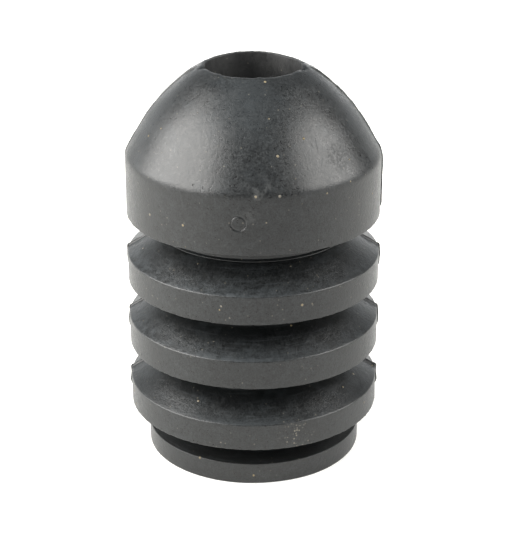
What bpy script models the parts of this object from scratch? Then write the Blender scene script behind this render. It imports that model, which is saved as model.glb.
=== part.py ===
"""Ribbed rubber bump stop that slides on a damper rod: domed nose, three ribs and a snap-in base flange.

Metres, +Z up along the bore towards the nose, origin at the centre of the base face.

The real piece is one moulding, and it shortens by closing its grooves. So each zone that keeps its
shape is one solid (base flange, ribs, head), each neck that gives way is another, and a thin slit
parts them where the rubber runs on. Every rigid zone slides down towards the one below it.
"""

import math

import bmesh
import bpy

MM = 0.001

# Driving dimensions
BODY_RADIUS = 27.0 * MM
BORE_RADIUS = 10.0 * MM
HEIGHT = 85.7 * MM

FLANGE_RADIUS = 23.25 * MM
FLANGE_HEIGHT = 4.75 * MM

# Each rib's band: lower and upper edge of its cylindrical face
RIB_BANDS = {
    "rib_3": (10.2 * MM, 15.95 * MM),
    "rib_2": (24.4 * MM, 30.6 * MM),
    "rib_1": (38.85 * MM, 45.0 * MM),
}
RIB_TOP_SLOPE = math.radians(32.5)
UNDERSIDE_DRAFT = math.radians(5.0)

HEAD_NECK_RADIUS = 20.2 * MM
NECK_RADIUS = 19.5 * MM
BASE_NECK_RADIUS = 17.0 * MM
ROOT_FILLET = 1.2 * MM

HEAD_BOTTOM = 54.0 * MM
SHOULDER_HEIGHT = 66.85 * MM
DOME_RADIUS = 46.0 * MM
LAND_WIDTH = 0.8 * MM

EDGE_CHAMFER = 0.35 * MM
SLIT = 0.3 * MM

SEGMENTS = 64
DOME_STEPS = 9
FILLET_STEPS = 3

RUBBER_COLOUR = (0.030, 0.032, 0.033)
RUBBER_ROUGHNESS = 0.55


def clear_scene():
    for old in list(bpy.data.objects):
        bpy.data.objects.remove(old, do_unlink=True)


def rubber(name, shade=1.0):
    """A matt black rubber, a touch lighter or darker by shade."""
    material = bpy.data.materials.new(name)
    material.use_nodes = True
    surface = material.node_tree.nodes["Principled BSDF"]
    surface.inputs["Base Color"].default_value = (*(shade * c for c in RUBBER_COLOUR), 1.0)
    surface.inputs["Roughness"].default_value = RUBBER_ROUGHNESS
    surface.inputs["Metallic"].default_value = 0.0
    return material


def turn(name, outline, material):
    """A closed solid of revolution about Z from its closed (radius, height) outline."""
    shape = bmesh.new()
    corners = [shape.verts.new((radius, 0.0, height)) for radius, height in outline]
    rim = [shape.edges.new((corners[i - 1], corners[i])) for i in range(len(corners))]
    bmesh.ops.spin(
        shape,
        geom=rim,
        cent=(0.0, 0.0, 0.0),
        axis=(0.0, 0.0, 1.0),
        angle=2.0 * math.pi,
        steps=SEGMENTS,
        use_merge=True,
    )
    bmesh.ops.recalc_face_normals(shape, faces=shape.faces)
    mesh = bpy.data.meshes.new(name)
    shape.to_mesh(mesh)
    shape.free()
    mesh.shade_smooth()
    mesh.set_sharp_from_angle(angle=math.radians(20.0))
    mesh.materials.append(material)
    solid = bpy.data.objects.new(name, mesh)
    bpy.context.scene.collection.objects.link(solid)
    return solid


def arc(centre, radius, start, end, steps):
    """Points on an arc in the (radius, height) plane, with its angles measured from the radial axis."""
    angles = [start + (end - start) * i / steps for i in range(steps + 1)]
    return [(centre[0] + radius * math.cos(a), centre[1] + radius * math.sin(a)) for a in angles]


def arc_through(low, high, radius, steps):
    """The outward-bulging arc of that radius from low to high."""
    run, rise = high[0] - low[0], high[1] - low[1]
    half_chord = math.hypot(run, rise) / 2.0
    offset = math.sqrt(radius**2 - half_chord**2)
    middle = ((low[0] + high[0]) / 2.0, (low[1] + high[1]) / 2.0)
    centre = (
        middle[0] - offset * rise / (2.0 * half_chord),
        middle[1] + offset * run / (2.0 * half_chord),
    )
    start = math.atan2(low[1] - centre[1], low[0] - centre[0])
    end = math.atan2(high[1] - centre[1], high[0] - centre[0])
    return arc(centre, radius, start, end, steps)


def core_bottom(band_bottom, neck_radius):
    """Height of a band's underside at the neck: its draft thickens the rubber towards the core."""
    return band_bottom - (BODY_RADIUS - EDGE_CHAMFER - neck_radius) * math.tan(UNDERSIDE_DRAFT)


def chamfered_rim(radius, bottom, top):
    """The outer face of a band, from its top edge down to its bottom edge."""
    return [
        (radius - EDGE_CHAMFER, top),
        (radius, top - EDGE_CHAMFER),
        (radius, bottom + EDGE_CHAMFER),
        (radius - EDGE_CHAMFER, bottom),
    ]


def base_flange():
    """The bead that snaps into the retaining cup. Its flat lower face is what the part stands on."""
    outline = [(BORE_RADIUS, 0.0), (BORE_RADIUS, FLANGE_HEIGHT)]
    outline += chamfered_rim(FLANGE_RADIUS, 0.0, FLANGE_HEIGHT)
    return turn("base_flange", outline, rubber("base_flange_rubber"))


def rib(name, neck_radius=NECK_RADIUS):
    """One rib: a thick disc with a cylindrical band, and an underside drafted in to the neck below it."""
    bottom, top = RIB_BANDS[name]
    core = core_bottom(bottom, neck_radius)
    outline = [(BORE_RADIUS, core), (BORE_RADIUS, top)]
    outline += chamfered_rim(BODY_RADIUS, bottom, top)
    outline.append((neck_radius, core))
    return turn(name, outline, rubber(f"{name}_rubber"))


def neck(name, floor, ceiling, radius, slope):
    """The yielding rubber between two zones: a wall that runs out over the lower one.

    floor and ceiling are the faces of those zones. Over a rib the foot is the rib's sloping top, which
    starts at its rim. Over the flat base flange, where slope is 0, it is only the root fillet.
    """
    low, high = floor + SLIT, ceiling - SLIT
    fillet_radial = radius + ROOT_FILLET
    if slope:
        foot_height = floor + (BODY_RADIUS - fillet_radial) * math.tan(slope)
        foot = [(BODY_RADIUS - SLIT / math.tan(slope), low)]
    else:
        foot_height = low
        foot = []
    centre = (fillet_radial, foot_height + ROOT_FILLET / math.cos(slope))
    root = arc(centre, ROOT_FILLET, math.pi, 1.5 * math.pi - slope, FILLET_STEPS)
    outline = [(BORE_RADIUS, low), (BORE_RADIUS, high), (radius, high)] + root + foot
    return turn(name, outline, rubber(f"{name}_rubber", shade=0.8))


def head():
    """The striking end: a cylindrical band under a dome, with a narrow flat land around the bore."""
    core = core_bottom(HEAD_BOTTOM, HEAD_NECK_RADIUS)
    shoulder = (BODY_RADIUS, SHOULDER_HEIGHT)
    land_edge = (BORE_RADIUS + LAND_WIDTH, HEIGHT)
    dome = arc_through(shoulder, land_edge, DOME_RADIUS, DOME_STEPS)
    outline = [(BORE_RADIUS, core), (BORE_RADIUS, HEIGHT)] + dome[::-1]
    outline += chamfered_rim(BODY_RADIUS, HEAD_BOTTOM, SHOULDER_HEIGHT)[2:]
    outline.append((HEAD_NECK_RADIUS, core))
    return turn("head", outline, rubber("head_rubber"))


def necks():
    """Neck 1 is under the head. Neck 4, the thinnest, stands on the base flange."""
    rib_1_bottom, rib_1_top = RIB_BANDS["rib_1"]
    rib_2_bottom, rib_2_top = RIB_BANDS["rib_2"]
    rib_3_bottom, rib_3_top = RIB_BANDS["rib_3"]
    head_core = core_bottom(HEAD_BOTTOM, HEAD_NECK_RADIUS)
    neck("neck_1", rib_1_top, head_core, HEAD_NECK_RADIUS, RIB_TOP_SLOPE)
    neck("neck_2", rib_2_top, core_bottom(rib_1_bottom, NECK_RADIUS), NECK_RADIUS, RIB_TOP_SLOPE)
    neck("neck_3", rib_3_top, core_bottom(rib_2_bottom, NECK_RADIUS), NECK_RADIUS, RIB_TOP_SLOPE)
    base_neck_top = core_bottom(rib_3_bottom, BASE_NECK_RADIUS)
    neck("neck_4", FLANGE_HEIGHT, base_neck_top, BASE_NECK_RADIUS, 0.0)


clear_scene()
base_flange()
rib("rib_3", BASE_NECK_RADIUS)
rib("rib_2")
rib("rib_1")
necks()
head()
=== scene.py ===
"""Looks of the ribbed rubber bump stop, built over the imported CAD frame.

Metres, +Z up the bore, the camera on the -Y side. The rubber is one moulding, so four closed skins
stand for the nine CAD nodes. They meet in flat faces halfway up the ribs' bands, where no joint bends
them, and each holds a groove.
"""

import math

import bpy
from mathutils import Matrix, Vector, noise


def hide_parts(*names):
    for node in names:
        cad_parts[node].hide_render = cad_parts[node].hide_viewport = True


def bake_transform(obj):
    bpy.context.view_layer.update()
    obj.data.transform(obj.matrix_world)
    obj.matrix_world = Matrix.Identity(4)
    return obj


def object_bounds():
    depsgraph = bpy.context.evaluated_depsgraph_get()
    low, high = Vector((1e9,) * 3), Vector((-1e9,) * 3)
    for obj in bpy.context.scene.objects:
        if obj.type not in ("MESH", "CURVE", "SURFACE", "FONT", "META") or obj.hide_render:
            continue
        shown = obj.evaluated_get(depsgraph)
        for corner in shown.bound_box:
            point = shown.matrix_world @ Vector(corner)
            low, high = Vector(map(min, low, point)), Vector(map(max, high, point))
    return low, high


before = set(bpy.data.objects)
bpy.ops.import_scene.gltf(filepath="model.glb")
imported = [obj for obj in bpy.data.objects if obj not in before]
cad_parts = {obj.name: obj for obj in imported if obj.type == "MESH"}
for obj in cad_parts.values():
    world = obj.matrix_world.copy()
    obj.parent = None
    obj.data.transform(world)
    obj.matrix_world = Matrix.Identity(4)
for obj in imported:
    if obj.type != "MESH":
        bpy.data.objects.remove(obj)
cad_low, cad_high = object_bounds()

MM = 0.001

# Roundings of the mould that the CAD outline leaves square, and how the dome departs from its plain arc
RIB_TOP_EDGE = 0.35 * MM
LOWER_EDGE = 0.2 * MM
CORE_FILLET = 1.0 * MM
ROOT_FILLET = 1.1 * MM
LIP_EDGE = 0.07 * MM
LIP_ROOT = 0.04 * MM
BASE_EDGE = 0.4 * MM
BASE_TOP_EDGE = 0.15 * MM
LAND_OUTER_EDGE = 1.0 * MM
LAND_INNER_EDGE = 0.2 * MM
SHOULDER_ROUNDING = 4.0 * MM
LAND_RUN_IN = 1.2 * MM
# How much fuller and flatter the dome is, and the shares of its height over which each comes and goes
CROWN_FULLER = 0.22 * MM
FULLER_STARTS = (0.30, 0.66)
FULLER_ENDS = (0.88, 1.0)
CROWN_FLATTER = 0.14 * MM
FLATTER_STARTS = (-0.05, 0.12)
FLATTER_ENDS = (0.20, 0.50)

# The head's neck draws in to a thin lip just clear of the rib below, over a tucked root
LIP_CLEARANCE = 0.6 * MM
LIP_HEIGHT = 0.16 * MM
LIP_SHELF = 0.35 * MM
LIP_PROUD = 0.2 * MM
WALL_RECESS = 0.32 * MM
ROOT_TUCK = 0.8 * MM

# Mesh pitch
COLUMNS = 320
ROW_STEP = 0.65 * MM
BORE_STEP = 1.5 * MM
FINE_STEP = 0.11 * MM
COLUMN_GAP = 0.15 * MM
ARC_STEP = math.radians(11.0)
SHARP_EDGE = math.radians(55.0)
# How near a wall's radius a point counts as on that wall
ON_WALL = 0.1 * MM

# Where the mould's halves meet: a thin fin of flash, worn off in places. Heights are (right, left).
PARTING = (math.radians(3.5), math.radians(177.2))
FIN_COLUMNS = (0.0, 0.06 * MM, 0.13 * MM, 0.22 * MM, 0.45 * MM)
FIN_HALF_WIDTH = 0.22 * MM
FIN_SHARPNESS = 1.3
BAND_FLASH = {
    "head": (0.66 * MM, 0.30 * MM),
    "rib_1": (0.70 * MM, 0.50 * MM),
    "rib_2": (0.55 * MM, 0.55 * MM),
    "rib_3": (0.65 * MM, 0.60 * MM),
    "base_flange": (0.35 * MM, 0.20 * MM),
}
DOME_FLASH = (0.32 * MM, 0.24 * MM)
DOME_FLASH_FADES = (1.5 * MM, 0.2 * MM)
CONE_FLASH = (0.45 * MM, 0.40 * MM)
HIDDEN_FLASH = (0.15 * MM, 0.12 * MM)
# A surface looks up or down where its normal's height is beyond these
LOOKS_UP = 0.3
LOOKS_DOWN = -0.2
# How far down a band its fin starts to fade and where it ends. The head's grows out of the dome's fin
# and runs on to the band's foot.
FLASH_FADES = (0.6, 0.9)
HEAD_FLASH_FADES = (0.96, 1.06)
HEAD_FLASH_GROWS = (0.0, 0.15)
# Unevenness of the fins: their mean share of the full height, how far it varies, and over what length
FLASH_SHARE = 0.85
FLASH_RAGGEDNESS = 0.45
HEAD_FLASH_RAGGEDNESS = 0.12
FLASH_WAVE = 2.2 * MM

# The shallow ring on the head's band
WITNESS_ANGLE = math.radians(-96.2)
WITNESS_HEIGHT = 60.85 * MM
WITNESS_RADIUS = 1.5 * MM
WITNESS_GROOVE = 0.16 * MM
WITNESS_LINE = 0.15 * MM
WITNESS_REACH = 2.2 * MM

# Unevenness of the whole surface, with its wavelength
WAVINESS = 0.035 * MM
WAVE = 11 * MM
LOWER_EDGE_WEAR = 0.09 * MM
LOWER_EDGE_WAVE = 0.8 * MM
LIP_RAGGEDNESS = 0.12 * MM
LIP_COARSE = 5
LIP_FINE = 19
LIP_WEAR_REACH = 0.6 * MM
LIP_WEAR_FULL = 0.15 * MM

# Low places of the bore's rim, as (depth, angle, half width): marks of the trim, and broad sags
TRIM_MARKS = (
    (-0.16 * MM, math.radians(-83.0), math.radians(5.0)),
    (0.5 * MM, math.radians(-13.0), math.radians(6.0)),
    (0.3 * MM, math.radians(-168.0), math.radians(4.0)),
)
RIM_SAGS = (
    (0.36 * MM, math.radians(42.0), math.radians(28.0)),
    (0.2 * MM, math.radians(142.0), math.radians(24.0)),
)
SAG_REACH = 3 * MM

# Marks in the rubber's surface, as (angle, height, reach), and scratches, as (angle, height) at each end
CHALK_SPOT = (math.radians(-70.0), 12.6 * MM, 5.0 * MM)
SCUFF_SPOT = (math.radians(-85.7), 67.6 * MM, 4.2 * MM)
SMUDGE_SPOT = (math.radians(-90.7), 62.6 * MM, 2.4 * MM)
DULL_SPOT = (math.radians(-46.0), 71.8 * MM, 4.0 * MM)
SCRATCHES = (
    ((math.radians(-62.0), 78.6 * MM), (math.radians(-58.5), 74.2 * MM)),
    ((math.radians(-55.0), 77.0 * MM), (math.radians(-63.5), 76.2 * MM)),
    ((math.radians(-55.5), 75.6 * MM), (math.radians(-56.5), 72.8 * MM)),
)
SCRATCH_WIDTH = 0.18 * MM

# Where each look of the rubber holds. The first three are spans of the normal's height, for tops, for
# what the mould left bloomed, and for edges that look down. The others are the millimetres beyond rib
# 1's band, the bore's wall and the flange's top over which the look there ends.
FACING_TOP = (0.35, 0.75)
FACING_BLOOM = (0.1, 0.4)
FACING_DOWN = (-0.5, -0.1)
RIB_LOOK_ENDS = (5.0, 7.0)
BORE_LOOK_ENDS = (0.2, 0.6)
FLANGE_LOOK_ENDS = (1.0, 2.0)

# Patterns in the rubber, as noise (scale per millimetre, detail, roughness), and the span of noise's values
NOISE_SPAN = (0.3, 0.7)
BLOTCH = (0.09, 3.0, 0.55)
CLOUD = (0.45, 4.0, 0.65)
FLECK = (1.5, 3.0, 0.6)
GRAIN = (3.4, 2.0, 0.6)
DRAG = (1.1, 3.0, 0.6)
# Patches of painted light on the ribs' tops
PAINTED_LIGHT_NOISE = (0.6, 6.0, 0.8)
BLOOM = (0.22, 5.0, 0.7)
# The drag lines' noise is read on a circle of this many millimetres, so it changes slowly round the axis
DRAG_CIRCLE = 3.0

# Specks, as (cells per millimetre, radius in cells, share of the cells). Dust lies thicker on edges that
# look down.
CHALK_SPECKS = (1.7, 0.40, 0.85)
DUST_SPECKS = (0.42, 0.13)
DUST_SHARE = (0.34, 0.9)
FINE_DUST_SPECKS = (0.85, 0.17, 0.42)
PIT_SPECKS = (0.5, 0.12, 0.14)

# Colours of the rubber and of what lies on it, and of the shade and light painted on the ribs' tops, linear
RUBBER_BLACK = (0.0086, 0.0095, 0.0099)
SHADED_BLACK = (0.0015, 0.0022, 0.0024, 1.0)
PIT_BLACK = (0.001, 0.001, 0.001, 1.0)
# Painted light, lighter towards the ribs' rims
PAINTED_LIGHT_GREY = (0.029, 0.032, 0.034, 1.0)
DRAG_GREY = (0.026, 0.029, 0.031, 1.0)
BLOOM_GREY = (0.018, 0.021, 0.023, 1.0)
BORE_GREY = (0.018, 0.018, 0.018, 1.0)
SCUFF_GREY = (0.045, 0.046, 0.046, 1.0)
CHALK_WHITE = (0.16, 0.145, 0.115, 1.0)
TAN_DUST = (0.23, 0.175, 0.085, 1.0)
GREY_DUST = (0.13, 0.12, 0.10, 1.0)
FINE_DUST = (0.10, 0.092, 0.072, 1.0)

# The camera's place, as the photograph was taken
VIEW_AIM = Vector((1.41, 0.0, 40.50)) * MM
VIEW_DISTANCE = 358.9 * MM
VIEW_ELEVATION = math.radians(22.74)
VIEW_LENS = 111.8

# The floor: a lit white sheet, with a grey patch of painted shade in front of the object
FLOOR_REACH = 4.0
FLOOR_GAP = 0.03 * MM
FLOOR_WHITE = (0.66, 0.65, 0.62, 1.0)
FLOOR_SHADE_GREY = (0.38, 0.37, 0.36, 1.0)
FLOOR_GLOW = 0.52
SHADE_PATCH_CENTRE = (0.11, -0.35, 0.0)
SHADE_PATCH_INNER = 0.16
SHADE_PATCH_OUTER = 0.38

# Lights. A softbox is its azimuth and half width, its lowest and highest elevation, its radiance and its
# distance. Azimuths are measured from the camera's side towards +X. Angles are in degrees.
WARM_WHITE = (1.0, 0.985, 0.955)
COOL_WHITE = (0.88, 1.0, 1.06)
SOFTBOXES = {
    "softbox_left": (-75.0, 35.0, 9.0, 54.0, 9.4, 0.55),
    "softbox_right": (77.0, 27.5, 15.0, 50.5, 7.1, 0.55),
    "softbox_back": (180.0, 24.0, 0.5, 6.0, 2.4, 1.4),
}
TOP_PLACE = Vector((-0.18, -0.15, 0.95))
TOP_WIDTH = 0.8
TOP_LENGTH = 1.0
TOP_RADIANCE = 1.0

# Black cards, as azimuth and half width in degrees, then lower and upper edge
FLAGS = {
    "black_flag": (0.0, 40.0, 0.05, 0.50),
    "black_flag_right": (119.0, 12.5, 0.05, 1.0),
}
FLAG_DISTANCE = 1.2
FLAG_PARTS = 16
FLAG_BLACK = (0.01, 0.01, 0.01, 1.0)

# The room's brightness falls from the horizon's to that overhead between two heights of the direction
SKY_LOW = 0.05
SKY_HIGH = 0.48
SKY_HORIZON = 1.15
SKY_ABOVE = 0.43
SKY_WHITE = (0.96, 1.0, 1.02, 1.0)


# ---------------------------------------------------------------------------------------------------
# The frame's measures


class Turned:
    """A turned CAD node, read back as the (radius, height) corners of its outline."""

    MATCH = 0.02 * MM

    def __init__(self, node):
        places = [vertex.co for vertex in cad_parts[node].data.vertices]
        self.corners = [(math.hypot(place.x, place.y), place.z) for place in places]
        self.bore = min(radius for radius, height in self.corners)
        self.rim = max(radius for radius, height in self.corners)
        self.low = min(height for radius, height in self.corners)
        self.top = max(height for radius, height in self.corners)

    def heights(self, radius):
        return [height for r, height in self.corners if abs(r - radius) < self.MATCH]

    def radii(self, height):
        return [radius for radius, h in self.corners if abs(h - height) < self.MATCH]


class Zone(Turned):
    """A rigid zone: its band on the rim, and the neck that it stands over."""

    def __init__(self, node):
        super().__init__(node)
        self.band_top = self.top if node != "head" else max(self.heights(self.rim))
        self.band_bottom = min(self.heights(self.rim)) - EDGE
        self.neck = max(self.radii(self.low))
        self.middle = (self.band_bottom + self.band_top) / 2


BASE = Turned("base_flange")
EDGE = BASE.top - max(BASE.heights(BASE.rim))
HEAD, RIB_1, RIB_2, RIB_3 = (Zone(node) for node in ("head", "rib_1", "rib_2", "rib_3"))
RIM, BORE, TOP = HEAD.rim, HEAD.bore, HEAD.top
LAND = max(HEAD.radii(HEAD.top))
SHOULDER = HEAD.band_top
NECK = RIB_1.neck
BANDS = {
    "head": (HEAD.band_bottom, HEAD.band_top),
    "rib_1": (RIB_1.band_bottom, RIB_1.band_top),
    "rib_2": (RIB_2.band_bottom, RIB_2.band_top),
    "rib_3": (RIB_3.band_bottom, RIB_3.band_top),
    "base_flange": (BASE.low, BASE.top),
}


def cone_slope():
    """Rise over run of the ribs' tops, from the foot of the neck that lies on one."""
    by_radius = sorted(set(Turned("neck_2").corners))
    foot = by_radius[-1]
    above = next(corner for corner in reversed(by_radius) if corner[0] < foot[0] - Turned.MATCH)
    return (above[1] - foot[1]) / (foot[0] - above[0])


def dome_circle():
    """Centre and radius of the dome's arc, through its two ends and a corner between them."""
    between = [c for c in HEAD.corners if LAND + MM < c[0] < RIM - MM and c[1] > SHOULDER]
    a, b, c = Vector((RIM, SHOULDER)), Vector(between[len(between) // 2]), Vector((LAND, TOP))
    ab, ac = b - a, c - a
    twice_area = 2 * (ab.x * ac.y - ab.y * ac.x)
    centre = a + Vector((
        (ac.y * ab.length_squared - ab.y * ac.length_squared) / twice_area,
        (ab.x * ac.length_squared - ac.x * ab.length_squared) / twice_area,
    ))
    return centre, (a - centre).length


def rim_point(angle, height):
    """The point of the outer cylinder at that angle and height."""
    return Vector((RIM * math.cos(angle), RIM * math.sin(angle), height))


def dome_point(angle, height):
    """The point of the dome at that angle and height."""
    rise = height - DOME_CENTRE.y
    radius = DOME_CENTRE.x + math.sqrt(DOME_RADIUS**2 - rise**2)
    return Vector((radius * math.cos(angle), radius * math.sin(angle), height))


SLOPE = cone_slope()
DOME_CENTRE, DOME_RADIUS = dome_circle()


# ---------------------------------------------------------------------------------------------------
# Outlines in the (radius, height) plane


def smooth(low, high, value):
    """0 at low and before, 1 at high and beyond, with an even curve between."""
    t = min(1.0, max(0.0, (value - low) / (high - low)))
    return t * t * (3 - 2 * t)


def arc(centre, radius, start, end):
    """Points along an arc, as close as the mesh pitch asks for."""
    steps = max(2, math.ceil(max(abs(end - start) / ARC_STEP, abs(end - start) * radius / ROW_STEP)))
    angles = [start + (end - start) * i / steps for i in range(steps + 1)]
    return [Vector((centre[0] + radius * math.cos(a), centre[1] + radius * math.sin(a))) for a in angles]


def rounded(corners):
    """The outline through (radius, height, rounding) corners, each turned into an arc of its rounding."""
    places = [Vector(corner[:2]) for corner in corners]
    points = []
    for i, place in enumerate(places):
        rounding = corners[i][2]
        if not rounding:
            points.append(place)
            continue
        before = (places[i - 1] - place).normalized()
        after = (places[i + 1] - place).normalized()
        half = before.angle(after) / 2
        centre = place + (before + after).normalized() * rounding / math.sin(half)
        start = place + before * rounding / math.tan(half) - centre
        first = math.atan2(start.y, start.x)
        turn = math.pi - 2 * half
        left = before.x * after.y - before.y * after.x < 0
        points += arc(centre, rounding, first, first + (turn if left else -turn))
    return points


def closer(points):
    """The same outline with points added, so that no step is longer than its place asks for."""
    filled = [points[0]]
    for here, there in zip(points, points[1:]):
        middle = (here + there) / 2
        step = ROW_STEP
        if middle.x < BORE + ON_WALL:
            step = BORE_STEP
        elif middle.x > RIM - ON_WALL and abs(middle.y - WITNESS_HEIGHT) < WITNESS_REACH:
            step = FINE_STEP
        parts = max(1, math.ceil((there - here).length / step))
        filled += [here.lerp(there, i / parts) for i in range(1, parts + 1)]
    return filled


def groove(lower, upper):
    """Corners of the groove between two ribs, from the lower one's band up to the upper one's."""
    return [
        (RIM, lower.band_top, RIB_TOP_EDGE),
        (upper.neck, lower.band_top + (RIM - upper.neck) * SLOPE, ROOT_FILLET),
        (upper.neck, upper.low, CORE_FILLET),
        (RIM, upper.band_bottom, LOWER_EDGE),
    ]


def groove_under_head():
    """As groove(), but the neck draws in downwards to a thin lip, over the tucked root."""
    root, wall, lip = HEAD.neck - ROOT_TUCK, HEAD.neck - WALL_RECESS, HEAD.neck + LIP_PROUD
    lip_low = RIB_1.band_top + (RIM - HEAD.neck) * SLOPE + LIP_CLEARANCE
    return [
        (RIM, RIB_1.band_top, RIB_TOP_EDGE),
        (root, RIB_1.band_top + (RIM - root) * SLOPE, LIP_ROOT),
        (lip, lip_low, LIP_EDGE),
        (lip, lip_low + LIP_HEIGHT, LIP_EDGE),
        (wall, lip_low + LIP_HEIGHT + LIP_SHELF, LIP_EDGE),
        (HEAD.neck, HEAD.low, CORE_FILLET),
        (RIM, HEAD.band_bottom, LOWER_EDGE),
    ]


def crowned(point):
    """A point of the dome, with the moulding fuller than its plain arc high up and flatter low down."""
    share = (point.y - SHOULDER) / (TOP - SHOULDER)
    fuller = smooth(*FULLER_STARTS, share) * (1 - smooth(*FULLER_ENDS, share))
    flatter = smooth(*FLATTER_STARTS, share) * (1 - smooth(*FLATTER_ENDS, share))
    away = (point - DOME_CENTRE).normalized()
    return point + away * (CROWN_FULLER * fuller - CROWN_FLATTER * flatter)


def nose():
    """The shoulder, the dome and the land, then down the bore to the middle of rib 1."""
    inner = Vector((RIM - SHOULDER_ROUNDING, 0.0))
    across = inner.x - DOME_CENTRE.x
    rise = math.sqrt((DOME_RADIUS - SHOULDER_ROUNDING) ** 2 - across**2)
    inner.y = DOME_CENTRE.y + rise
    lean = math.atan2(rise, across)
    land_lean = math.atan2(TOP - DOME_CENTRE.y, LAND - DOME_CENTRE.x) - LAND_RUN_IN / DOME_RADIUS
    shoulder = arc(inner, SHOULDER_ROUNDING, 0.0, lean)
    dome = arc(DOME_CENTRE, DOME_RADIUS, lean, land_lean)
    curve = [crowned(point) for point in shoulder + dome[1:]]
    land = rounded([
        (*curve[-1], 0),
        (LAND, TOP, LAND_OUTER_EDGE),
        (BORE, TOP, LAND_INNER_EDGE),
        (BORE, RIB_1.middle, 0),
    ])
    return curve + land[1:]


def head_outline():
    """Up the outside from the middle of rib 1, over the nose and back down the bore."""
    low, high = WITNESS_HEIGHT - WITNESS_REACH, WITNESS_HEIGHT + WITNESS_REACH
    below = rounded([(RIM, RIB_1.middle, 0), *groove_under_head(), (RIM, low, 0)])
    return below + [Vector((RIM, high))] + nose()


def rib_outline(lower, upper):
    """Up the outside from the middle of one rib to the middle of the next."""
    return rounded([(RIM, lower.middle, 0), *groove(lower, upper), (RIM, upper.middle, 0)])


def base_outline():
    """Down the bore from the middle of rib 3, round the flange and up its groove to the rib's band."""
    return rounded([
        (BORE, RIB_3.middle, 0),
        (BORE, BASE.low, BASE_EDGE),
        (BASE.rim, BASE.low, BASE_EDGE),
        (BASE.rim, BASE.top, BASE_TOP_EDGE),
        (RIB_3.neck, BASE.top, ROOT_FILLET),
        (RIB_3.neck, RIB_3.low, CORE_FILLET),
        (RIM, RIB_3.band_bottom, LOWER_EDGE),
        (RIM, RIB_3.middle, 0),
    ])


# ---------------------------------------------------------------------------------------------------
# The moulding's small relief


def turned_by(angle, other):
    """The signed turn from other to angle, within half a turn."""
    return (angle - other + math.pi) % (2 * math.pi) - math.pi


def bell(value, width):
    """1 at 0, falling away to nothing over about twice the width."""
    return math.exp(-((value / width) ** 2))


def band_under(place):
    """The band that an outline point is on, or None."""
    for node, (bottom, top) in BANDS.items():
        rim = BASE.rim if node == "base_flange" else RIM
        if place.x > rim - EDGE and bottom - EDGE <= place.y <= top + EDGE:
            return node
    return None


def band_flash(band, place, side):
    """Height of the fin at a point on a band."""
    bottom, top = BANDS[band]
    down = (top - place.y) / (top - bottom)
    height = BAND_FLASH[band][side]
    if band != "head":
        return height * (1 - smooth(*FLASH_FADES, down))
    height *= 1 - smooth(*HEAD_FLASH_FADES, down)
    return DOME_FLASH[side] + (height - DOME_FLASH[side]) * smooth(*HEAD_FLASH_GROWS, down)


def flash_height(place, facing, side):
    """Height of the fin at an outline point, where facing is how far its surface looks up."""
    if place.x < BORE + ON_WALL:
        return 0.0
    band = band_under(place)
    if band:
        height = band_flash(band, place, side)
    elif place.y > SHOULDER:
        fades, ends = DOME_FLASH_FADES
        height = DOME_FLASH[side] * (1 - smooth(TOP - fades, TOP - ends, place.y))
    elif facing > LOOKS_UP:
        height = CONE_FLASH[side]
    else:
        height = HIDDEN_FLASH[side]
    ragged = noise.noise(Vector((place.x / FLASH_WAVE, place.y / FLASH_WAVE, 7.0 * side)))
    raggedness = HEAD_FLASH_RAGGEDNESS if band == "head" else FLASH_RAGGEDNESS
    return height * min(1.0, max(0.0, FLASH_SHARE + raggedness * ragged))


def dip(marks, angle):
    """How deep the marks, as (depth, angle, half width), lie together at that angle."""
    return sum(depth * bell(turned_by(angle, middle), width) for depth, middle, width in marks)


def lip_wear(angle, place):
    """The uneven trim of the land round the bore."""
    near = smooth(TOP - LIP_WEAR_REACH, TOP - LIP_WEAR_FULL, place.y)
    if not near or place.x >= LAND + LIP_WEAR_REACH:
        return 0.0
    # The third coordinates only set the two noises apart
    coarse = noise.noise(Vector((LIP_COARSE * math.cos(angle), LIP_COARSE * math.sin(angle), 3.0)))
    fine = noise.noise(Vector((LIP_FINE * math.cos(angle), LIP_FINE * math.sin(angle), 9.0)))
    return near * (LIP_RAGGEDNESS * (coarse + 0.5 * fine) - dip(TRIM_MARKS, angle))


def rim_sag(angle, place):
    """How far the rim of the bore lies low there."""
    return dip(RIM_SAGS, angle) * smooth(TOP - SAG_REACH, TOP, place.y)


def witness_mark(angle, place):
    """The shallow ring that an ejector or gate plug left on the head's band."""
    across = turned_by(angle, WITNESS_ANGLE) * RIM
    up = place.y - WITNESS_HEIGHT
    if abs(across) > WITNESS_REACH or abs(up) > WITNESS_REACH or place.x < RIM - EDGE:
        return 0.0
    return -WITNESS_GROOVE * bell(math.hypot(across, up) - WITNESS_RADIUS, WITNESS_LINE)


def relief(angle, place, facing):
    """How far the surface stands proud of the outline there."""
    spot = Vector((place.x * math.cos(angle), place.x * math.sin(angle), place.y))
    height = WAVINESS * noise.noise(spot / WAVE)
    if place.x > RIM - 2 * EDGE and facing < LOOKS_DOWN:
        height += LOWER_EDGE_WEAR * noise.noise(spot / LOWER_EDGE_WAVE)
    for side, line in enumerate(PARTING):
        off = abs(turned_by(angle, line)) * RIM
        if off < FIN_HALF_WIDTH:
            height += flash_height(place, facing, side) * (1 - off / FIN_HALF_WIDTH) ** FIN_SHARPNESS
    return height + lip_wear(angle, place) + witness_mark(angle, place)


# ---------------------------------------------------------------------------------------------------
# Skins


def turning_angles():
    """Even steps round the axis, with close ones across the parting lines and the witness mark."""
    close = {line + side * off / RIM for line in PARTING for off in FIN_COLUMNS for side in (-1, 1)}
    reach = round(WITNESS_REACH / FINE_STEP)
    close |= {WITNESS_ANGLE + i * FINE_STEP / RIM for i in range(-reach, reach + 1)}
    even = [2 * math.pi * i / COLUMNS for i in range(COLUMNS)]
    gap = COLUMN_GAP / RIM
    spaced = [a for a in even if all(abs(turned_by(a, b)) > gap for b in close)]
    return sorted(a % (2 * math.pi) for a in [*close, *spaced])


ANGLES = turning_angles()


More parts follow.
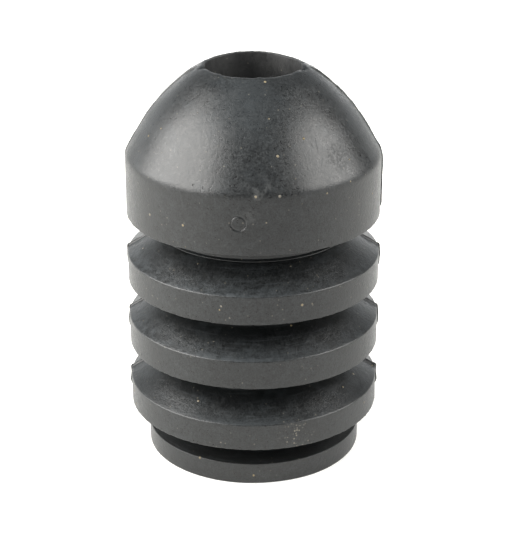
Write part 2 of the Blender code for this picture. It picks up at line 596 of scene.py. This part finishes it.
def outward(points, i):
    """The outline's unit normal at a point, to the right of the way it runs."""
    along = (points[min(i + 1, len(points) - 1)] - points[max(i - 1, 0)]).normalized()
    return Vector((along.y, -along.x))


def skin(name, outlines, nodes):
    """A closed solid of revolution through the outlines, joined end to end by flat faces.
    """
    rows = []
    for outline in outlines:
        points = closer(outline)
        rows += [(point, outward(points, i)) for i, point in enumerate(points)]
    vertices = []
    for angle in ANGLES:
        for place, normal in rows:
            moved = place + normal * relief(angle, place, normal.y)
            moved.y -= rim_sag(angle, place)
            vertices.append((moved.x * math.cos(angle), moved.x * math.sin(angle), moved.y))
    count, turns = len(rows), len(ANGLES)
    faces = []
    for i in range(turns):
        here, there = i * count, (i + 1) % turns * count
        for j in range(count):
            k = (j + 1) % count
            faces.append((here + j, there + j, there + k, here + k))
    mesh = bpy.data.meshes.new(name)
    mesh.from_pydata(vertices, [], faces)
    mesh.validate()
    mesh.shade_smooth()
    mesh.set_sharp_from_angle(angle=SHARP_EDGE)
    rest = mesh.attributes.new("rest_mm", "FLOAT_VECTOR", "POINT")
    rest.data.foreach_set("vector", [value / MM for vertex in vertices for value in vertex])
    mesh.materials.append(RUBBER)
    piece = bpy.data.objects.new(name, mesh)
    bpy.context.scene.collection.objects.link(piece)
    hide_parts(*nodes)
    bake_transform(piece)


def bore_between(high, low):
    """The bore from the middle of one rib down to the middle of the next."""
    return [Vector((BORE, high.middle)), Vector((BORE, low.middle))]


def make_skins():
    skin(
        "skin_head", [head_outline()], ("head", "neck_1", "rib_1"),
    )
    skin(
        "skin_rib_1", [rib_outline(RIB_2, RIB_1), bore_between(RIB_1, RIB_2)], ("neck_2", "rib_2"),
    )
    skin(
        "skin_rib_2", [rib_outline(RIB_3, RIB_2), bore_between(RIB_2, RIB_3)], ("neck_3", "rib_3"),
    )
    skin(
        "skin_base", [base_outline()], ("base_flange", "neck_4"),
    )


# ---------------------------------------------------------------------------------------------------
# Rubber


def shader(tree, kind, inputs=None, **settings):
    """A new node with its settings and inputs, where an input is a value or another node's output."""
    made = tree.nodes.new(kind)
    for key, value in settings.items():
        setattr(made, key, value)
    for key, value in (inputs or {}).items():
        if isinstance(value, bpy.types.NodeSocket):
            tree.links.new(value, made.inputs[key])
        else:
            made.inputs[key].default_value = value
    return made


class Graph:
    """Short forms of the nodes that the materials are made of. Places are in millimetres."""

    def __init__(self, name):
        self.material = bpy.data.materials.new(name)
        self.material.use_nodes = True
        self.tree = self.material.node_tree
        self.surface = self.tree.nodes["Principled BSDF"]

    def add(self, kind, inputs=None, **settings):
        return shader(self.tree, kind, inputs, **settings)

    def math(self, operation, a, b):
        return self.add("ShaderNodeMath", {0: a, 1: b}, operation=operation).outputs[0]

    def times(self, first, *others):
        for other in others:
            first = self.math("MULTIPLY", first, other)
        return first

    def plus(self, first, *others):
        for other in others:
            first = self.math("ADD", first, other)
        return first

    def vector(self, operation, a, b=None, scale=None):
        """A vector operation on a, with b or with a scale. Its result is a vector or a value."""
        inputs = {0: a}
        if b is not None:
            inputs[1] = b
        if scale is not None:
            inputs["Scale"] = scale
        made = self.add("ShaderNodeVectorMath", inputs, operation=operation)
        gives_value = operation in ("DISTANCE", "LENGTH", "DOT_PRODUCT")
        return made.outputs["Value" if gives_value else "Vector"]

    def noise(self, place, scale, detail=2.0, roughness=0.5):
        inputs = {"Vector": place, "Scale": scale, "Detail": detail, "Roughness": roughness}
        return self.add("ShaderNodeTexNoise", inputs).outputs["Fac"]

    def ramp(self, value, low, high, to_low=0.0, to_high=1.0):
        """value from low..high mapped smoothly to to_low..to_high, and held there beyond."""
        inputs = {"Value": value, 1: low, 2: high, 3: to_low, 4: to_high}
        return self.add("ShaderNodeMapRange", inputs, interpolation_type="SMOOTHSTEP").outputs[0]

    def mix(self, factor, a, b):
        inputs = {"Factor": factor, 6: a, 7: b}
        return self.add("ShaderNodeMix", inputs, data_type="RGBA").outputs[2]

    def near(self, place, spot, reach):
        """1 at that spot, falling to 0 at reach from it."""
        away = self.vector("DISTANCE", place, spot / MM)
        return self.ramp(away, 0.0, reach / MM, 1.0, 0.0)

    def scratch(self, place, start, end):
        """1 along the straight line between two (angle, height) points of the dome, 0 beside it."""
        first, last = (dome_point(*point) / MM for point in (start, end))
        run = last - first
        from_first = self.vector("SUBTRACT", place, first)
        share = self.vector("DOT_PRODUCT", from_first, run / run.length_squared)
        share = self.math("MINIMUM", self.math("MAXIMUM", share, 0.0), 1.0)
        foot = self.vector("SCALE", run, scale=share)
        away = self.vector("DISTANCE", from_first, foot)
        return self.ramp(away, 0.0, SCRATCH_WIDTH / MM, 1.0, 0.0)

    def specks(self, place, scale, radius, share):
        """Round specks of mixed size and strength, in that share of the cells of a jittered grid."""
        cells = self.add("ShaderNodeTexVoronoi", {"Vector": place, "Scale": scale, "Randomness": 1.0})
        chance = self.add("ShaderNodeSeparateColor", {"Color": cells.outputs["Color"]}).outputs
        chosen = self.math("LESS_THAN", chance["Red"], share)
        outer = self.times(radius, self.ramp(chance["Blue"], 0.0, 1.0, 0.5, 1.15))
        inner = self.times(outer, 0.5)
        dot = self.ramp(cells.outputs["Distance"], inner, outer, 1.0, 0.0)
        dot = self.times(dot, self.ramp(chance["Blue"], 0.2, 0.9, 0.25, 1.0))
        return self.times(chosen, dot), chance["Green"]


class Rubber(Graph):
    """Semi-matt black rubber: mottled gloss, fine grain, drag lines round the ribs, tan dust, and painted
    shade and light on the ribs' tops.

    It works on the skins' places at rest, so that the marks stay on the rubber as the grooves close.
    """

    def __init__(self):
        super().__init__("moulded_black_rubber")
        self.place = self.add("ShaderNodeAttribute", attribute_name="rest_mm").outputs["Vector"]
        parts = self.add("ShaderNodeSeparateXYZ", {"Vector": self.place}).outputs
        self.side, self.height = parts["X"], parts["Z"]
        self.flat = self.add("ShaderNodeCombineXYZ", {"X": parts["X"], "Y": parts["Y"]}).outputs[0]
        self.radius = self.vector("LENGTH", self.flat)
        normal = self.add("ShaderNodeNewGeometry").outputs["Normal"]
        self.up = self.add("ShaderNodeSeparateXYZ", {"Vector": normal}).outputs["Z"]

        self.on_top = self.ramp(self.up, *FACING_TOP)
        self.on_rib = self.times(self.on_top, self.up_to(self.height, RIB_1.top, RIB_LOOK_ENDS))
        self.in_bore = self.up_to(self.radius, BORE, BORE_LOOK_ENDS)

        self.cloud = self.noise(self.place, *CLOUD)
        self.fleck = self.noise(self.place, *FLECK)
        self.grain = self.noise(self.place, *GRAIN)

        chalk, _ = self.specks(self.place, *CHALK_SPECKS)
        self.chalk = self.times(chalk, self.near_rim(CHALK_SPOT))
        under_edge = self.ramp(self.up, *FACING_DOWN, 1.0, 0.0)
        dust_share = self.ramp(under_edge, 0.0, 1.0, *DUST_SHARE)
        self.dust, self.hue = self.specks(self.place, *DUST_SPECKS, dust_share)
        self.pits, _ = self.specks(self.place, *PIT_SPECKS)
        self.scratches = [self.scratch(self.place, start, end) for start, end in SCRATCHES]

        self.tree.links.new(self.colour(), self.surface.inputs["Base Color"])
        self.tree.links.new(self.gloss(), self.surface.inputs["Roughness"])
        self.tree.links.new(self.bumps(), self.surface.inputs["Normal"])
        self.surface.inputs["IOR"].default_value = 1.5

    def up_to(self, value, edge, ends):
        """1 up to an edge, falling to 0 between two distances in millimetres beyond it."""
        start, end = (edge / MM + beyond for beyond in ends)
        return self.ramp(value, start, end, 1.0, 0.0)

    def near_rim(self, spot):
        """1 at a spot on the outer cylinder, given as (angle, height, reach), falling to 0 at its reach."""
        angle, height, reach = spot
        return self.near(self.place, rim_point(angle, height), reach)

    def drag_lines(self):
        """Noise that is drawn out round the axis into long streaks."""
        sweep = self.vector("SCALE", self.vector("NORMALIZE", self.flat), scale=DRAG_CIRCLE)
        across = self.math("SUBTRACT", self.radius, self.height)
        lift = self.add("ShaderNodeCombineXYZ", {"X": across, "Y": 0.0, "Z": across}).outputs[0]
        return self.noise(self.vector("ADD", sweep, lift), *DRAG)

    def mottled(self):
        """The plain rubber's colour, lighter and darker at four scales."""
        blotch = self.ramp(self.noise(self.place, *BLOTCH), *NOISE_SPAN, 0.85, 1.15)
        cloud = self.ramp(self.cloud, *NOISE_SPAN, 0.7, 1.3)
        fleck = self.ramp(self.fleck, *NOISE_SPAN, -0.4, 0.4)
        grain = self.ramp(self.grain, *NOISE_SPAN, -0.55, 0.55)
        shade = self.times(blotch, cloud, self.plus(1.0, self.plus(fleck, grain)))
        return self.vector("SCALE", RUBBER_BLACK, scale=shade)

    def on_rib_tops(self, colour):
        """The ribs' tops: painted shade by the neck, painted light towards the rim and to the left, and
        drag lines.
        """
        neck, rim = NECK / MM, RIM / MM
        shaded = self.times(
            self.on_rib,
            self.ramp(self.radius, neck + 1.0, neck + 6.0, 0.75, 0.0),
            self.ramp(self.height, RIB_1.low / MM, RIB_1.top / MM, 1.0, 0.4),
        )
        colour = self.mix(shaded, colour, SHADED_BLACK)
        # Painted light: grey patches towards the rim, more on the higher ribs and on the left, where light
        # falls
        painted_light = self.times(
            self.on_rib,
            self.ramp(self.radius, neck + 3.0, rim, 0.0, 0.8),
            self.ramp(self.noise(self.place, *PAINTED_LIGHT_NOISE), 0.43, 0.62, 0.0, 1.0),
            self.ramp(self.height, RIB_3.top / MM, RIB_1.low / MM, 0.15, 1.3),
            self.ramp(self.side, -22.0, 22.0, 1.3, 0.6),
        )
        colour = self.mix(painted_light, colour, PAINTED_LIGHT_GREY)
        drawn = self.times(self.on_rib, self.ramp(self.drag_lines(), 0.53, 0.70, 0.0, 0.5))
        return self.mix(drawn, colour, DRAG_GREY)

    def with_marks(self, colour):
        """Scuffs, chalk, pits and dust over the rubber's colour."""
        scuff = self.times(self.near_rim(SCUFF_SPOT), self.ramp(self.cloud, 0.48, 0.62, 0.0, 0.9))
        smudge = self.times(self.near_rim(SMUDGE_SPOT), self.ramp(self.cloud, 0.42, 0.6, 0.0, 0.6))
        colour = self.mix(self.plus(scuff, smudge), colour, SCUFF_GREY)
        colour = self.mix(self.chalk, colour, CHALK_WHITE)
        colour = self.mix(self.times(self.pits, 0.8), colour, PIT_BLACK)
        colour = self.mix(self.dust, colour, self.mix(self.hue, TAN_DUST, GREY_DUST))
        fine_dust, _ = self.specks(self.place, *FINE_DUST_SPECKS)
        return self.mix(self.times(fine_dust, 0.6), colour, FINE_DUST)

    def colour(self):
        """The whole surface's colour, with a grey bloom where it looks up and a greyer bore."""
        colour = self.on_rib_tops(self.mottled())
        moulded = self.ramp(self.up, *FACING_BLOOM)
        bloom = self.ramp(self.noise(self.place, *BLOOM), 0.50, 0.68, 0.0, 0.45)
        colour = self.mix(self.times(moulded, bloom), colour, BLOOM_GREY)
        walled = self.times(self.in_bore, self.ramp(self.cloud, *NOISE_SPAN, 0.4, 1.0))
        colour = self.mix(walled, colour, BORE_GREY)
        return self.with_marks(colour)

    def gloss(self):
        """The surface's roughness."""
        fleck = self.ramp(self.fleck, *NOISE_SPAN, -0.05, 0.05)
        grain = self.ramp(self.grain, *NOISE_SPAN, -0.06, 0.06)
        speckle = self.times(self.plus(fleck, grain), self.ramp(self.on_rib, 0.0, 1.0, 1.0, 0.4))
        on_flange = self.times(self.on_top, self.up_to(self.height, BASE.top, FLANGE_LOOK_ENDS))
        angle, height, reach = DULL_SPOT
        dull_spot = self.near(self.place, dome_point(angle, height), reach)
        dull = self.times(self.ramp(dull_spot, 0.0, 0.6), self.ramp(self.fleck, 0.4, 0.6, 0.2, 1.0))
        return self.plus(
            self.ramp(self.cloud, *NOISE_SPAN, 0.34, 0.40),
            speckle,
            self.times(self.on_rib, -0.02),
            self.times(self.plus(self.dust, self.chalk), 0.35),
            self.times(self.in_bore, 0.15),
            self.times(on_flange, 0.25),
            self.times(dull, 0.14),
            *(self.times(scratch, 0.12) for scratch in self.scratches),
        )

    def bumps(self):
        """The normal over the grain, the dust, the pits and the scratches. Heights are in millimetres."""
        height = self.plus(
            self.times(self.grain, 0.024),
            self.times(self.fleck, self.ramp(self.on_rib, 0.0, 1.0, 0.04, 0.045)),
            self.times(self.cloud, self.ramp(self.on_rib, 0.0, 1.0, 0.02, 0.05)),
            self.times(self.dust, 0.08),
            self.times(self.pits, -0.08),
            *(self.times(scratch, -0.02) for scratch in self.scratches),
        )
        return self.add("ShaderNodeBump", {"Strength": 1.0, "Distance": MM, "Height": height}).outputs[0]


# ---------------------------------------------------------------------------------------------------
# Studio


def panel(name, centre, facing, width, height, radiance, tint):
    """A soft rectangular light that shines along facing and doesn't show in the picture."""
    light = bpy.data.lights.new(name, "AREA")
    light.shape = "RECTANGLE"
    light.size, light.size_y = width, height
    light.energy = radiance * math.pi * width * height
    light.color = tint
    holder = bpy.data.objects.new(name, light)
    holder.visible_camera = False
    holder.location = centre
    holder.rotation_euler = (-facing).to_track_quat("Z", "Y").to_euler()
    bpy.context.scene.collection.objects.link(holder)


def softbox(name, azimuth, spread, low, high, radiance, distance):
    """An upright panel that the object sees across spread either side of azimuth, from low to high."""
    azimuth = math.radians(azimuth)
    across = Vector((math.sin(azimuth), -math.cos(azimuth), 0.0))
    bottom = distance * math.tan(math.radians(low))
    top = distance * math.tan(math.radians(high))
    width = 2 * distance * math.tan(math.radians(spread))
    centre = VIEW_AIM + across * distance + Vector((0.0, 0.0, (bottom + top) / 2))
    panel(name, centre, -across, width, top - bottom, radiance, WARM_WHITE)


def stage_sheet(name, places, faces):
    """A matt white card or sheet of the set, and its graph."""
    mesh = bpy.data.meshes.new(name)
    mesh.from_pydata(places, [], faces)
    g = Graph(name)
    g.surface.inputs["Roughness"].default_value = 0.9
    g.surface.inputs["Specular IOR Level"].default_value = 0.1
    mesh.materials.append(g.material)
    sheet = bpy.data.objects.new(name, mesh)
    bpy.context.scene.collection.objects.link(sheet)
    return sheet, g


def floor():
    """The pale sheet that the object stands on, wide enough to fill every view."""
    low = cad_low.z - FLOOR_GAP
    square = ((-1, -1), (1, -1), (1, 1), (-1, 1))
    corners = [(x * FLOOR_REACH, y * FLOOR_REACH, low) for x, y in square]
    _, g = stage_sheet("floor", corners, [(0, 1, 2, 3)])
    place = g.add("ShaderNodeTexCoord").outputs["Object"]
    # Painted shade: the floor is grey in a patch in front of the object, where less light falls
    away = g.vector("DISTANCE", place, SHADE_PATCH_CENTRE)
    tone = g.mix(g.ramp(away, SHADE_PATCH_INNER, SHADE_PATCH_OUTER, 1.0, 0.0), FLOOR_WHITE, FLOOR_SHADE_GREY)
    g.tree.links.new(tone, g.surface.inputs["Base Color"])
    g.surface.inputs["Emission Color"].default_value = (1.0, 1.0, 1.0, 1.0)
    g.surface.inputs["Emission Strength"].default_value = FLOOR_GLOW


def flag(name, azimuth, spread, low, high):
    """A black card curved round the object, so that the rubber mirrors a dark room there."""
    places, faces = [], []
    for i in range(FLAG_PARTS + 1):
        turn = math.radians(azimuth + spread * (2 * i / FLAG_PARTS - 1))
        for height in (low, high):
            places.append((FLAG_DISTANCE * math.sin(turn), -FLAG_DISTANCE * math.cos(turn), height))
        if i:
            faces.append((2 * i - 2, 2 * i, 2 * i + 1, 2 * i - 1))
    card, g = stage_sheet(name, places, faces)
    g.surface.inputs["Base Color"].default_value = FLAG_BLACK
    card.visible_camera = False


def sky():
    """A white room that is darker overhead."""
    world = bpy.data.worlds.new("studio")
    world.use_nodes = True
    tree = world.node_tree
    direction = shader(tree, "ShaderNodeTexCoord").outputs["Generated"]
    height = shader(tree, "ShaderNodeSeparateXYZ", {"Vector": direction}).outputs["Z"]
    inputs = {"Value": height, 1: SKY_LOW, 2: SKY_HIGH, 3: SKY_HORIZON, 4: SKY_ABOVE}
    strength = shader(tree, "ShaderNodeMapRange", inputs, interpolation_type="SMOOTHSTEP").outputs[0]
    tree.links.new(strength, tree.nodes["Background"].inputs["Strength"])
    tree.nodes["Background"].inputs["Color"].default_value = SKY_WHITE
    bpy.context.scene.world = world


def studio():
    view = bpy.context.scene.view_settings
    view.view_transform = "Standard"
    view.look = "None"
    sky()
    for name, box in SOFTBOXES.items():
        softbox(name, *box)
    facing = -TOP_PLACE.normalized()
    panel("softbox_top", VIEW_AIM + TOP_PLACE, facing, TOP_WIDTH, TOP_LENGTH, TOP_RADIANCE, COOL_WHITE)
    floor()
    for name, card in FLAGS.items():
        flag(name, *card)


def camera():
    data = bpy.data.cameras.new("camera")
    data.lens = VIEW_LENS
    data.sensor_width = 36.0
    data.clip_start = 0.01
    data.clip_end = 20.0
    holder = bpy.data.objects.new("camera", data)
    back = Vector((0.0, -math.cos(VIEW_ELEVATION), math.sin(VIEW_ELEVATION)))
    holder.location = VIEW_AIM + back * VIEW_DISTANCE
    holder.rotation_euler = back.to_track_quat("Z", "Y").to_euler()
    bpy.context.scene.collection.objects.link(holder)
    bpy.context.scene.camera = holder


camera()
studio()
RUBBER = Rubber().material
make_skins()
